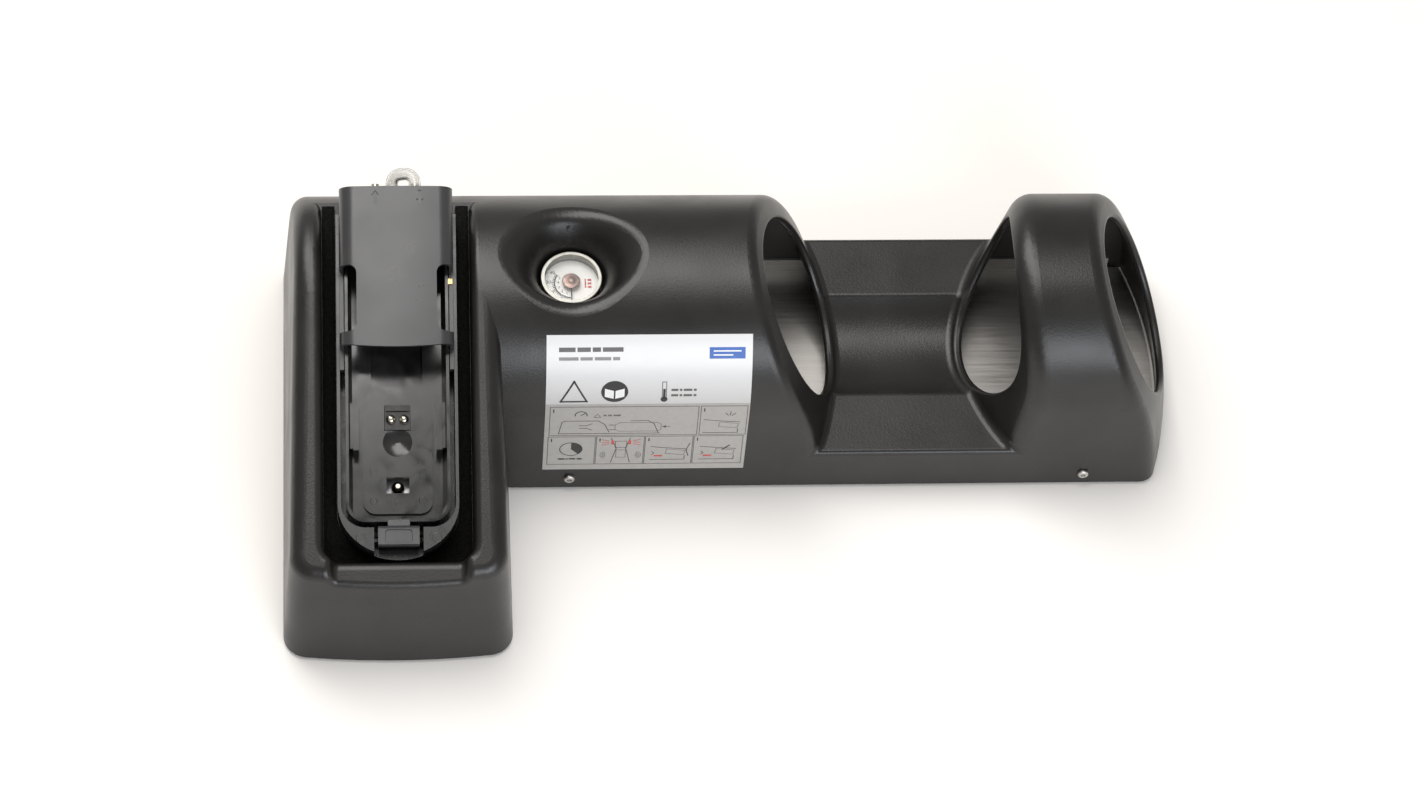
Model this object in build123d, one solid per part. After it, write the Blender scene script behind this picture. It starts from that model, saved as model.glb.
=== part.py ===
from build123d import *
import math
import os

# Bump-test and docking station for a portable gas detector.
# Millimetres, +Z up. The origin is at the bottom centre of the whole station, where it stands.

os.makedirs("parts", exist_ok=True)

# ---- driving dimensions -------------------------------------------------------------------
LENGTH = 441.0          # along X, at the base of the shell
DEPTH = 225.5           # along Y, at the base of the shell
WALL = 4.0              # shell wall
EDGE_Z = 2.0            # lower edge of the shell above the table
TUBE_HALF = 65.5        # half width of the tube at its base
TUBE_R = 60.0           # radius of the tube's round top
TUBE_DRAFT = 5.5        # lean of the tube's straight walls, degrees
BORE_R = 43.0           # passage for the gas cylinder
END_R = 185.0           # sphere of the tube's and the ring's right faces
POD_WIDTH = 110.0       # detector pod at its base
POD_DRAFT = 3.5         # lean of the pod's sides, degrees
POD_FRONT_DRAFT = 8.4   # lean of its front, degrees
SLOPE = 19.0            # slope of the pod and of the cradle, degrees
CHANNEL_W = 71.0        # channel that the cradle lies in
CHANNEL_D = 27.0        # its depth below the ridges, square to the slope
CRADLE_W = 57.0         # outer tray of the cradle
TUB_W = 49.0            # inner tub of the cradle
HOSE_R = 3.0            # clear hose, outside
HOSE_BORE = 2.0

# ---- places -------------------------------------------------------------------------------
TUBE_Y = DEPTH / 2 - TUBE_HALF                 # middle of the tube
ARC_Z = EDGE_Z + 52.0                          # centre of the tube's round top
BORE_Z = EDGE_Z + 61.0
TUBE_END_X = 39.0                              # right face of the tube, on the bore's axis
RING_TILT = 11.6                               # lean of the ring's left face, degrees
RING_LEFT_X = 122.3                            # ring's left face, on the bore's axis
RING_BOW_R = 100.0                             # bow of the ring's left face, seen from above
SPHERE_Z = EDGE_Z - 14.0
SADDLE_Z = EDGE_Z + 26.0                       # flat shoulders beside the trough
TROUGH_R = 45.5                                # trough that the cylinder lies over
POD_X = -LENGTH / 2 + POD_WIDTH / 2
POD_FRONT_Y = -DEPTH / 2
POD_CORNER_R = 12.0                            # front corners of the pod, seen from above
POD_BOW = 3.5                                  # bow of its front
PLATE_Z = EDGE_Z + 1.0                         # underside of the base plate
PLATE_T = 1.2
FLANGE_H = 11.0
GAUGE_X = -81.0
SCREW_XS = (GAUGE_X, 173.5)                    # screws through the low edge, front and back
SCREW_Z = EDGE_Z + 8.0
FOOT_R = 8.0

# ---- rounded edges of the shell -----------------------------------------------------------
POD_RIM_R = 8.0           # pod's top edges
TUBE_RIM_R = 7.0          # tube's right face
RING_LEFT_R = 12.0        # ring's left face
RING_RIGHT_R = 8.0        # ring's right face
SADDLE_RIM_R = 2.5        # outer edges of the shoulders
CREST_R = 3.0             # edges of the trough
TUBE_JOIN_R = 4.0         # hollow corner between the shoulders and the tube
RING_JOIN_R = 4.5         # hollow corner between the shoulders and the ring
LIP_R = 3.0               # hollow corners where the front lip meets the ridges
LIP_FRONT_R = 4.0         # front edge of the lip
CHANNEL_RIM_R = 4.0       # top edges of the channel
FUNNEL_RIM_R = 7.0        # mouth of the gauge recess
BORE_RIM_R = 1.6          # edges of the cylinder's passage

RING_SPHERE_X = LENGTH / 2 - math.sqrt(END_R**2 - (EDGE_Z - SPHERE_Z) ** 2)
TUBE_SPHERE_X = TUBE_END_X - math.sqrt(END_R**2 - (BORE_Z - SPHERE_Z) ** 2)

TILT = math.radians(SLOPE)
RIDGE_LENGTH = 141.7                           # from the slope's origin to the tube's round top
SLOPE_Y = TUBE_Y - TUBE_R * math.sin(TILT) - RIDGE_LENGTH * math.cos(TILT)
SLOPE_Z = ARC_Z + TUBE_R * math.cos(TILT) - RIDGE_LENGTH * math.sin(TILT)

# Frame of the sloping pod: x across, y up the slope, z square to it and 0 at the ridge line.
slope = Plane(
    origin=(POD_X, SLOPE_Y, SLOPE_Z),
    x_dir=(1, 0, 0),
    z_dir=(0, -math.sin(TILT), math.cos(TILT)),
)
side = Plane.YZ                                # sketches seen from the right end
bore_axis = Plane(origin=(0, TUBE_Y, BORE_Z), x_dir=(0, 1, 0), z_dir=(1, 0, 0))


def save(shape, name):
    """Write one node as its own STEP file."""
    shape.label = name
    export_step(shape, f"parts/{name}.step")


def on_slope(x, s, h):
    """A point of the pod's sloping frame, in the part's frame."""
    return slope.location * Pos(x, s, h)


def slope_box(x0, x1, s0, s1, h0, h1):
    """A box given by its limits in the sloping frame."""
    box = Box(x1 - x0, s1 - s0, h1 - h0)
    return on_slope((x0 + x1) / 2, (s0 + s1) / 2, (h0 + h1) / 2) * box


def slope_prism(sketch, h0, h1):
    """A sketch in the sloping frame's x and s, raised from h0 to h1."""
    return slope.location * Pos(0, 0, h0) * extrude(sketch, h1 - h0)


def rounded(width, length, radius, middle_s):
    """A rounded rectangle in the sloping frame's x and s."""
    return Pos(0, middle_s) * RectangleRounded(width, length, radius)


def group(solids):
    """Separate solids in one node."""
    return Compound(children=list(solids))


# ---- housing shell ------------------------------------------------------------------------
def tube_section(inset):
    """Half-round section with leaning straight walls, open-ended prism outline."""
    lean = math.radians(TUBE_DRAFT)
    radius = TUBE_R - inset
    base_z = EDGE_Z if inset == 0 else EDGE_Z - 5
    half = (TUBE_R - inset) / math.cos(lean) + (ARC_Z - base_z) * math.tan(lean)
    touch_y = radius * math.cos(lean)
    touch_z = ARC_Z + radius * math.sin(lean)
    with BuildSketch(side) as section:
        with BuildLine():
            Polyline((TUBE_Y - touch_y, touch_z), (TUBE_Y - half, base_z),
                     (TUBE_Y + half, base_z), (TUBE_Y + touch_y, touch_z))
            ThreePointArc((TUBE_Y + touch_y, touch_z), (TUBE_Y, ARC_Z + radius),
                          (TUBE_Y - touch_y, touch_z))
        make_face()
    return section.sketch


def long_prism(inset, x0, x1):
    return Pos(x0, 0, 0) * extrude(tube_section(inset), x1 - x0, dir=(1, 0, 0))


def end_ball(x, inset):
    return Pos(x, TUBE_Y, SPHERE_Z) * Sphere(END_R - inset)


def ring_bow(inset):
    """Leaning cylinder whose left side is the ring's left face."""
    lean = Rot(0, RING_TILT, 0)
    middle = Pos(RING_LEFT_X + RING_BOW_R / math.cos(math.radians(RING_TILT)), TUBE_Y, BORE_Z)
    return middle * lean * Cylinder(RING_BOW_R - inset, 600)


def tube_body(inset):
    return long_prism(inset, POD_X, LENGTH / 2) & end_ball(TUBE_SPHERE_X, inset)


def ring_body(inset):
    return long_prism(inset, 60, LENGTH / 2) & end_ball(RING_SPHERE_X, inset) & ring_bow(inset)


def saddle_body(inset):
    low = Pos(90, TUBE_Y, SADDLE_Z - inset - 50) * Box(160, 200, 100)
    trough = bore_axis.location * Cylinder(TROUGH_R + inset, 600)
    return (long_prism(inset, 10, 170) & low) - trough


def pod_plan(inset, height):
    """Plan of the pod at a height: bowed front with round corners, open towards the tube."""
    rise = height - EDGE_Z
    half = POD_WIDTH / 2 - inset - rise * math.tan(math.radians(POD_DRAFT))
    front = POD_FRONT_Y + inset + rise * math.tan(math.radians(POD_FRONT_DRAFT))
    with BuildSketch(Plane.XY.offset(height)) as plan:
        with BuildLine():
            ThreePointArc((POD_X - half, front + POD_BOW), (POD_X, front), (POD_X + half, front + POD_BOW))
            Polyline((POD_X + half, front + POD_BOW), (POD_X + half, DEPTH),
                     (POD_X - half, DEPTH), (POD_X - half, front + POD_BOW))
        make_face()
        corners = plan.vertices().filter_by(lambda v: v.Y < DEPTH / 2)
        fillet(corners, POD_CORNER_R - inset)
    return plan.sketch


def pod_profile(inset):
    """Side view of the pod: sloping top that runs on into the tube's round back."""
    lean = math.radians(TUBE_DRAFT)
    radius = TUBE_R - inset
    base_z = EDGE_Z if inset == 0 else EDGE_Z - 5
    half = radius / math.cos(lean) + (ARC_Z - base_z) * math.tan(lean)
    top = (TUBE_Y - radius * math.sin(TILT), ARC_Z + radius * math.cos(TILT))
    back = (TUBE_Y + radius * math.cos(lean), ARC_Z + radius * math.sin(lean))
    run = DEPTH
    front = (top[0] - run, top[1] - run * math.tan(TILT))
    with BuildSketch(side) as profile:
        with BuildLine():
            Polyline(top, front, (front[0], base_z), (TUBE_Y + half, base_z), back)
            ThreePointArc(back, (TUBE_Y + radius * 0.6, ARC_Z + radius * 0.8), top)
        make_face()
    return profile.sketch


def pod_body(inset):
    low = EDGE_Z - 5 if inset else EDGE_Z
    block = loft([pod_plan(inset, low), pod_plan(inset, EDGE_Z + 170)])
    prism = Pos(-LENGTH, 0, 0) * extrude(pod_profile(inset), 2 * LENGTH, dir=(1, 0, 0))
    return block & prism


VALVE_S = 51.0            # valve plunger, along the slope
CONTACT_S = 84.0          # contact pins, along the slope
HOSE_X = -1.6             # where the clear hose goes down into the shell
HOSE_HOLE_S = 185.0
CRADLE_SCREWS = [(x, s) for x in (-19, 19) for s in (60, 168)]
CHANNEL_FRONT = 12.5      # front end of the channel
LIP_DROP = 5.0            # how far the front lip lies below the ridges


def channel(inset):
    """What the channel takes out of the pod; inset thickens it for the inner skin."""
    width = CHANNEL_W + 2 * inset
    front = CHANNEL_FRONT - inset
    deep = rounded(width, 300, 8 + inset, front + 150)
    shallow = rounded(width - 8, 80, 6 + inset, front)
    cut = slope_prism(deep, -CHANNEL_D - inset, 60)
    return cut + slope_prism(shallow, -LIP_DROP - inset, 60)


FUNNEL_LOW_R = 15.3       # hole at the bottom of the gauge recess
FUNNEL_LOW_Z = EDGE_Z + 82.0


def funnel(inset):
    """Flared recess down to the gauge, turned about the gauge's axis."""
    low = FUNNEL_LOW_R + inset
    with BuildSketch(Plane.XZ) as half:
        with BuildLine():
            Line((0, FUNNEL_LOW_Z), (low, FUNNEL_LOW_Z))
            Line((low, FUNNEL_LOW_Z), (low + 1.2, EDGE_Z + 89))
            ThreePointArc((low + 1.2, EDGE_Z + 89), (low + 8, EDGE_Z + 103), (low + 24, EDGE_Z + 114))
            Polyline((low + 24, EDGE_Z + 114), (low + 24, EDGE_Z + 130), (0, EDGE_Z + 130),
                     (0, FUNNEL_LOW_Z))
        make_face()
    return Pos(GAUGE_X, TUBE_Y, 0) * revolve(half.sketch, Axis.Z)


def floor_holes(low, high):
    """Openings through the channel's floor: valve plunger, contact block, hose, cradle screws."""
    holes = [slope_box(-6.5, 6.5, VALVE_S - 6.5, VALVE_S + 6.5, low, high),
             slope_box(-6.4, 6.4, CONTACT_S - 7, CONTACT_S + 7, low, high),
             on_slope(HOSE_X, HOSE_HOLE_S, (low + high) / 2) * Cylinder(4.2, high - low)]
    for x, s in CRADLE_SCREWS:
        holes.append(on_slope(x, s, (low + high) / 2) * Cylinder(1.5, high - low))
    return holes


def screw_frames():
    """Frames of the housing screws: on the outer wall, square to it, both sides."""
    lean = math.radians(TUBE_DRAFT)
    half = TUBE_HALF - (SCREW_Z - EDGE_Z) * math.tan(lean)
    frames = []
    for x in SCREW_XS:
        for way in (-1, 1):
            out = (0, way * math.cos(lean), math.sin(lean))
            frames.append(Plane((x, TUBE_Y + way * half, SCREW_Z), x_dir=(1, 0, 0), z_dir=out).location)
    return frames


def middle(edge):
    return edge.bounding_box().center()


def slope_middle(edge):
    """Middle of an edge in the sloping frame."""
    return (slope.location.inverse() * Pos(*middle(edge))).position


def soften(shape, radius, wanted):
    """Round the edges that the test picks."""
    return fillet(shape.edges().filter_by(wanted), radius)


def outer_body():
    """The shell's solid outer form, with all its large soft edges."""
    pod = soften(pod_body(0), POD_RIM_R, lambda e: e.center().Z > SLOPE_Z - 6)
    tube = soften(tube_body(0), TUBE_RIM_R, lambda e: middle(e).X > 0 and middle(e).Z > EDGE_Z + 5)
    ring = soften(ring_body(0), RING_LEFT_R, lambda e: middle(e).X < RING_LEFT_X + 18 and e.length > 60)
    ring = soften(ring, RING_RIGHT_R, lambda e: middle(e).X > 170 and middle(e).Z > EDGE_Z + 5 and e.length > 60)
    saddle = soften(saddle_body(0), SADDLE_RIM_R, lambda e: on_saddle(e) and off_middle(e) > 50)
    saddle = soften(saddle, CREST_R, lambda e: on_saddle(e) and 20 < off_middle(e) < 40)
    body = pod + tube + ring + saddle
    body = soften(body, TUBE_JOIN_R, lambda e: beside_saddle(e, TUBE_END_X, TUBE_END_X + 15))
    body = soften(body, RING_JOIN_R, lambda e: beside_saddle(e, RING_LEFT_X - 22, RING_LEFT_X + 23))
    body = body - channel(0) - funnel(0)
    body = soften(body, LIP_R, on_lip)
    body = soften(body, LIP_FRONT_R, on_lip_front)
    body = soften(body, CHANNEL_RIM_R, on_channel_rim)
    return soften(body, FUNNEL_RIM_R, on_funnel_rim)


def on_funnel_rim(edge):
    """The long edge where the gauge funnel opens in the top of the tube."""
    place = middle(edge)
    return abs(place.X - GAUGE_X) < 2 and edge.length > 100 and place.Z > ARC_Z + 40


def off_middle(edge):
    return abs(middle(edge).Y - TUBE_Y)


def on_saddle(edge):
    return abs(middle(edge).Z - SADDLE_Z) < 1 and edge.length > 50


def beside_saddle(edge, x0, x1):
    """Hollow corner between the saddle and the tube or the ring."""
    place = middle(edge)
    return x0 < place.X < x1 and EDGE_Z + 10 < place.Z < SADDLE_Z + 6 and edge.length > 8


def on_lip(edge):
    """Corner between the lowered front lip and the ridge beside it."""
    place = slope_middle(edge)
    at_corner = abs(abs(place.X) - CHANNEL_W / 2 + 4) < 0.2 and abs(place.Z + LIP_DROP) < 0.2
    return at_corner and edge.length > 5


def on_lip_front(edge):
    """Top edge of the pod's front, between the ridges."""
    place = slope_middle(edge)
    return abs(place.X) < 1 and edge.length > 40 and place.Y < CHANNEL_FRONT - 4 and -10 < place.Z < -2


def on_channel_rim(edge):
    """Top edges of the channel, along the ridges and round its front corners."""
    place = slope_middle(edge)
    at_side = abs(abs(place.X) - CHANNEL_W / 2) < 0.2 and edge.length > 60
    at_corner = CHANNEL_W / 2 - 3 < abs(place.X) < CHANNEL_W / 2 - 0.3 and 12 < place.Y < 22
    return abs(place.Z) < 0.2 and (at_side or at_corner)


def on_bore(edge):
    """Edges that the cylinder's passage leaves in the walls."""
    if edge.length < 5:
        return False
    points = [edge.position_at(t) for t in (0.2, 0.5, 0.8)]
    return all(abs(math.hypot(q.Y - TUBE_Y, q.Z - BORE_Z) - BORE_R) < 0.05 for q in points)


def housing_shell():
    inner = pod_body(WALL) + tube_body(WALL) + ring_body(WALL) + saddle_body(WALL)
    inner = inner - channel(WALL) - funnel(WALL - 1)
    shell = outer_body() - inner
    bore = Pos(150, TUBE_Y, BORE_Z) * Rot(0, 90, 0) * Cylinder(BORE_R, 300)
    shell = soften(shell - bore, BORE_RIM_R, on_bore)
    for hole in floor_holes(-CHANNEL_D - WALL - 2, -CHANNEL_D + 2):
        shell = shell - hole
    for frame in screw_frames():
        shell = shell - frame * Cylinder(1.7, 30)
    return shell


# ---- base, feet, screws, label ------------------------------------------------------------
FEET = [(POD_X - 40, POD_FRONT_Y + 18), (POD_X + 40, POD_FRONT_Y + 18), (POD_X - 40, TUBE_Y + 50),
        (185, TUBE_Y - 50), (185, TUBE_Y + 50)]


def base_plate():
    """Sheet-steel bottom, L-shaped, with a bent flange along the front and the back of the tube."""
    half = TUBE_HALF - WALL - 1.5
    left = -LENGTH / 2 + WALL + 1.5
    pod_right = left + POD_WIDTH - 2 * WALL - 3
    long_part = Pos((left + 230) / 2, TUBE_Y, 0) * Rectangle(230 - left, 2 * half)
    pod_front = POD_FRONT_Y + WALL + 5
    pod_part = Pos((left + pod_right) / 2, (pod_front + TUBE_Y) / 2, 0)
    pod_sheet = pod_part * RectangleRounded(pod_right - left, TUBE_Y - pod_front, 9)
    plan = long_part + pod_sheet
    plate = Pos(0, 0, PLATE_Z) * extrude(plan, PLATE_T)
    rest = Pos(-150, TUBE_Y, PLATE_Z) * Box(400, 400, 10)
    plate = plate & (end_ball(RING_SPHERE_X, WALL + 1.5) + rest)
    for way, x0 in ((-1, pod_right + 4), (1, left + 6)):
        y = TUBE_Y + way * (half - PLATE_T / 2)
        middle = Pos((x0 + 198) / 2, y, PLATE_Z + FLANGE_H / 2)
        plate = plate + middle * Box(198 - x0, PLATE_T, FLANGE_H)
    for x, y in FEET:
        plate = plate - Pos(x, y, PLATE_Z) * Cylinder(1.5, 10)
    for frame in screw_frames():
        plate = plate - frame * Cylinder(1.5, 30)
    for x, y in bracket_bolts():
        plate = plate - Pos(x, y, PLATE_Z) * Cylinder(1.6, 10)
    return plate


def rubber_feet():
    foot = Pos(0, 0, PLATE_Z / 2) * Cylinder(FOOT_R, PLATE_Z)
    foot = chamfer(foot.edges().filter_by(GeomType.CIRCLE).sort_by(Axis.Z)[0], 0.8)
    foot = foot - Cylinder(3.3, 3.6) - Cylinder(1.7, 20)
    return group(Pos(x, y, 0) * foot for x, y in FEET)


def foot_screws():
    head = Pos(0, 0, 1.2) * Cylinder(3.0, 1.2)
    head = head - Pos(0, 0, 0.6) * extrude(RegularPolygon(1.4, 6), 0.6)
    screw = head + Pos(0, 0, 4.3) * Cylinder(1.4, 5.0)
    return group(Pos(x, y, 0) * screw for x, y in FEET)


def housing_screws():
    """Button-head screws with a hexagon socket, square to the leaning wall."""
    head = Pos(0, 0, 0.8) * Cylinder(2.7, 1.5)
    head = fillet(head.edges().filter_by(GeomType.CIRCLE).sort_by(Axis.Z)[-1], 1.0)
    head = head - Pos(0, 0, 0.7) * extrude(RegularPolygon(1.3, 6), 1.0)
    screw = head + Pos(0, 0, -4) * Cylinder(1.4, 8.2)
    return group(frame * screw for frame in screw_frames())


LABEL_X = -45.25          # middle of the instruction label
LABEL_W = 98.5
LABEL_TOP = 39.6          # degrees from the top of the round, towards the front
LABEL_LOW_Z = EDGE_Z + 15.5
LABEL_T = 0.3


def instruction_label():
    """Printed foil on the front of the tube: round above, flat on the leaning wall below."""
    lean = math.radians(TUBE_DRAFT)
    rims = []
    for radius in (TUBE_R + 0.05, TUBE_R + 0.05 + LABEL_T):
        top = math.radians(LABEL_TOP)
        middle = (top + math.pi / 2 - lean) / 2
        points = [(TUBE_Y - radius * math.sin(a), ARC_Z + radius * math.cos(a))
                  for a in (top, middle, math.pi / 2 - lean)]
        drop = (points[2][1] - LABEL_LOW_Z)
        low = (points[2][0] - drop * math.tan(lean), LABEL_LOW_Z)
        rims.append(points + [low])
    inner, outer = rims
    with BuildSketch(side) as section:
        with BuildLine():
            ThreePointArc(*outer[:3])
            Polyline(outer[2], outer[3], inner[3], inner[2])
            ThreePointArc(*inner[:3])
            Line(inner[0], outer[0])
        make_face()
    return Pos(LABEL_X - LABEL_W / 2, 0, 0) * extrude(section.sketch, LABEL_W, dir=(1, 0, 0))


# ---- pressure gauge -----------------------------------------------------------------------
GAUGE_R = 14.6            # gauge case
GAUGE_TOP = EDGE_Z + 86.0
BEZEL_R = 14.9
LENS_R = 13.4
gauge = Pos(GAUGE_X, TUBE_Y, GAUGE_TOP)


def ring(outer, inner, low, high):
    """A flat ring about Z between two heights."""
    middle = Pos(0, 0, (low + high) / 2)
    return middle * (Cylinder(outer, high - low) - Cylinder(inner, high - low + 1))


def gauge_case():
    cup = Pos(0, 0, -5) * Cylinder(GAUGE_R, 10) - Pos(0, 0, -4) * Cylinder(GAUGE_R - 1, 9)
    cup = cup + ring(GAUGE_R - 0.5, 11, -3.6, -3.0)
    return gauge * (cup - Pos(0, 0, -9) * Cylinder(4.0, 4))


def gauge_bezel():
    band = ring(BEZEL_R, LENS_R + 0.05, 0, 3.2)
    lip = ring(BEZEL_R, LENS_R - 0.4, 2.5, 3.4)
    bezel = band + lip
    rim = bezel.edges().filter_by(GeomType.CIRCLE).group_by(Axis.Z)[-1].sort_by(lambda e: -e.radius)
    return gauge * fillet(rim[0], 0.6)


def gauge_dial():
    return gauge * ring(13.3, 0.9, -3.0, -2.4)


def gauge_pointer():
    """Needle with a tail, on a hub and a shaft that runs in the dial."""
    with BuildSketch() as blade:
        with BuildLine():
            Polyline((-0.9, 3.6), (0.9, 3.6), (0.55, 0), (0.22, -10.4), (-0.22, -10.4), (-0.55, 0),
                     (-0.9, 3.6))
        make_face()
    needle = Pos(0, 0, -1.2) * extrude(blade.sketch, 0.4)
    hub = Pos(0, 0, -1.0) * Cylinder(1.7, 1.6)
    shaft = Pos(0, 0, -3.2) * Cylinder(0.82, 3.4)
    return gauge * (needle + hub + shaft)


def gauge_lens():
    return gauge * Pos(0, 0, 1.9) * Cylinder(LENS_R, 1.2)


def gauge_stem():
    hexagon = Pos(0, 0, -15.4) * extrude(RegularPolygon(6.2, 6), 5.35)
    spigot = Pos(0, 0, -17.5) * Cylinder(3.4, 5)
    inside = Pos(0, 0, -9.2) * Cylinder(3.9, 2.4)
    return gauge * (hexagon + spigot + inside)


# ---- regulator ----------------------------------------------------------------------------
BLOCK_HALF = 9.5          # half height of the regulator's block
BLOCK_Y = 11.0            # half width
BLOCK_X0 = -98.0
BLOCK_X1 = -64.0
DISC_X = -116.0           # far face of the diaphragm housing
CONNECTOR_X = -46.0       # free end of the threaded cylinder connector
CONNECTOR_R = 7.9
THREAD_X = -57.0          # where its thread begins
SEAL_R = 7.0              # smooth root that the seal sits on


def along_x(radius, x0, x1, y=0.0, z=0.0):
    """A round bar parallel to the bore's axis."""
    return Pos((x0 + x1) / 2, TUBE_Y + y, BORE_Z + z) * Rot(0, 90, 0) * Cylinder(radius, x1 - x0)


def bracket_bolts():
    return [(x, TUBE_Y + y) for x in (-92, -70) for y in (-19, 19)]


def bracket_frames():
    """Frames of the screws that hold the regulator between the bracket's cheeks."""
    frames = []
    for x in (-91, -71):
        for way in (-1, 1):
            y = TUBE_Y + way * (BLOCK_Y + 2.1)
            frames.append(Plane((x, y, BORE_Z - 2), x_dir=(1, 0, 0), z_dir=(0, way, 0)).location)
    return frames


def regulator_body():
    block = Pos((BLOCK_X0 + BLOCK_X1) / 2, TUBE_Y, BORE_Z)
    block = block * Box(BLOCK_X1 - BLOCK_X0, 2 * BLOCK_Y, 2 * BLOCK_HALF)
    block = fillet(block.edges().filter_by(Axis.X), 2)
    disc = along_x(17, DISC_X, BLOCK_X0)
    disc = chamfer(disc.edges().filter_by(GeomType.CIRCLE), 1.5)
    body = block + disc - along_x(13.5, DISC_X + 4, BLOCK_X0 - 4)
    body = body - along_x(2.5, DISC_X + 2, BLOCK_X1 + 1) - along_x(4.0, DISC_X - 1, DISC_X + 5)
    body = body - Pos(GAUGE_X, TUBE_Y, BORE_Z + 7) * Cylinder(3.5, 14)
    body = body - along_x(6.0, BLOCK_X1 - 7, BLOCK_X1 + 1)
    for frame in bracket_frames():
        body = body - frame * Cylinder(1.5, 16)
    return body


def cylinder_connector():
    """Stub that the gas cylinder screws onto, with a hexagon flange and a root for the seal."""
    stub = along_x(5.9, BLOCK_X1 - 6.5, BLOCK_X1) + along_x(SEAL_R, BLOCK_X1, THREAD_X)
    stub = stub + along_x(CONNECTOR_R, THREAD_X, CONNECTOR_X)
    stub = chamfer(stub.edges().filter_by(GeomType.CIRCLE).sort_by(Axis.X)[-1], 1.0)
    flange = Pos(BLOCK_X1, TUBE_Y, BORE_Z) * Rot(0, 90, 0) * extrude(RegularPolygon(11.5, 6), 3)
    return stub + flange - along_x(2.2, BLOCK_X1 - 8, CONNECTOR_X + 1)


def inlet_seal():
    return Pos(BLOCK_X1 + 4.3, TUBE_Y, BORE_Z) * Rot(0, 90, 0) * Torus(SEAL_R + 1.25, 1.2)


def regulator_bracket():
    """Bent steel: a foot on the base plate and two cheeks beside the regulator."""
    low = PLATE_Z + PLATE_T
    middle_x = (BLOCK_X0 + BLOCK_X1) / 2
    length = BLOCK_X1 - BLOCK_X0 - 4
    bracket = Pos(middle_x, TUBE_Y, low + 1) * Box(length, 50, 2)
    for way in (-1, 1):
        top = BORE_Z + 4
        cheek = Pos(middle_x, TUBE_Y + way * (BLOCK_Y + 1.05), (low + top) / 2)
        bracket = bracket + cheek * Box(length, 2, top - low)
    for frame in bracket_frames():
        bracket = bracket - frame * Cylinder(1.6, 10)
    for x, y in bracket_bolts():
        bracket = bracket - Pos(x, y, low) * Cylinder(1.6, 10)
    return bracket


def bracket_screws():
    """Four screws into the regulator, and four shorter ones that end just under the base plate."""
    head = Pos(0, 0, 0.8) * Cylinder(2.6, 1.6)
    head = head - Pos(0, 0, 0.7) * extrude(RegularPolygon(1.3, 6), 1.0)
    side_screw = head + Pos(0, 0, -3.5) * Cylinder(1.4, 7.2)
    floor_screw = head + Pos(0, 0, -2.1) * Cylinder(1.4, 4.4)
    upright = Pos(0, 0, PLATE_Z + PLATE_T + 2)
    screws = [frame * side_screw for frame in bracket_frames()]
    screws += [Pos(x, y, 0) * upright * floor_screw for x, y in bracket_bolts()]
    return group(screws)


def barb(length):
    """Hose barb along +Z: a threaded root, a collar and a ribbed nipple with a passage."""
    nipple = Pos(0, 0, length / 2) * Cylinder(1.9, length)
    collar = Pos(0, 0, 0.75) * Cylinder(3.4, 1.5)
    root = Pos(0, 0, -1.75) * Cylinder(2.4, 3.5)
    return nipple + collar + root - Cylinder(0.9, 4 * length)


def outlet_barb():
    frame = Plane((DISC_X, TUBE_Y, BORE_Z), z_dir=(-1, 0, 0)).location
    plug = Pos(0, 0, -1) * Cylinder(3.9, 2) - Cylinder(2.4, 10)
    return frame * (barb(9) + plug)


# ---- valve under the cradle ---------------------------------------------------------------
VALVE_TOP = -CHANNEL_D - WALL
VALVE_LOW = -56.0
PLUNGER_R = 3.0
PLUNGER_TRAVEL = 3.0
BARB_H = -46.0
BARB_S = VALVE_S + 10.0
BARB_XS = (-6.0, 6.0)     # outlet, inlet
COLLAR_H = -42.0          # plunger's collar rests under the guide


def valve_body():
    block = slope_box(-12, 12, VALVE_S - 10, VALVE_S + 10, VALVE_LOW, VALVE_TOP)
    block = fillet(block.edges().sort_by(Axis.Z)[:1], 1.0)
    guide = on_slope(0, VALVE_S, -40) * Cylinder(PLUNGER_R + 0.06, 40)
    chamber = on_slope(0, VALVE_S, -50) * Cylinder(4.6, 16)
    block = block - guide - chamber
    for x in BARB_XS:
        block = block - on_slope(x, BARB_S, BARB_H) * Rot(90, 0, 0) * Cylinder(2.5, 7.4)
    return block


def valve_cap():
    cap = on_slope(0, VALVE_S, VALVE_LOW - 1.5) * Cylinder(8.5, 3)
    return cap - on_slope(0, VALVE_S, VALVE_LOW - 1.5) * Cylinder(1.0, 5)


def valve_plunger():
    """Ribbed conical tip in the window of the tub's floor, on a guided shaft with a collar."""
    with BuildSketch(Plane.XZ) as half:
        with BuildLine():
            Polyline((0, -18.0), (1.1, -18.0), (1.5, -19.2), (1.2, -19.6), (2.1, -20.8), (1.7, -21.2),
                     (PLUNGER_R, -23.4), (PLUNGER_R, COLLAR_H), (4.3, COLLAR_H), (4.3, COLLAR_H - 2),
                     (0, COLLAR_H - 2), (0, -18.0))
        make_face()
    return on_slope(0, VALVE_S, 0) * revolve(half.sketch, Axis.Z)


def spring(radius, wire, low, high, turns):
    """Compression spring about Z between two heights."""
    height = high - low - wire * 2
    path = Helix(height / turns, height, radius)
    coil = sweep(Plane(path @ 0, z_dir=path % 0) * Circle(wire), path=path)
    return Pos(0, 0, low + wire) * coil


def valve_spring():
    return on_slope(0, VALVE_S, 0) * spring(3.4, 0.45, VALVE_LOW, COLLAR_H - 2, 6)


def valve_barbs():
    frame = Rot(-90, 0, 0)
    return group(on_slope(x, BARB_S, BARB_H) * frame * barb(9) for x in BARB_XS)


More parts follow.
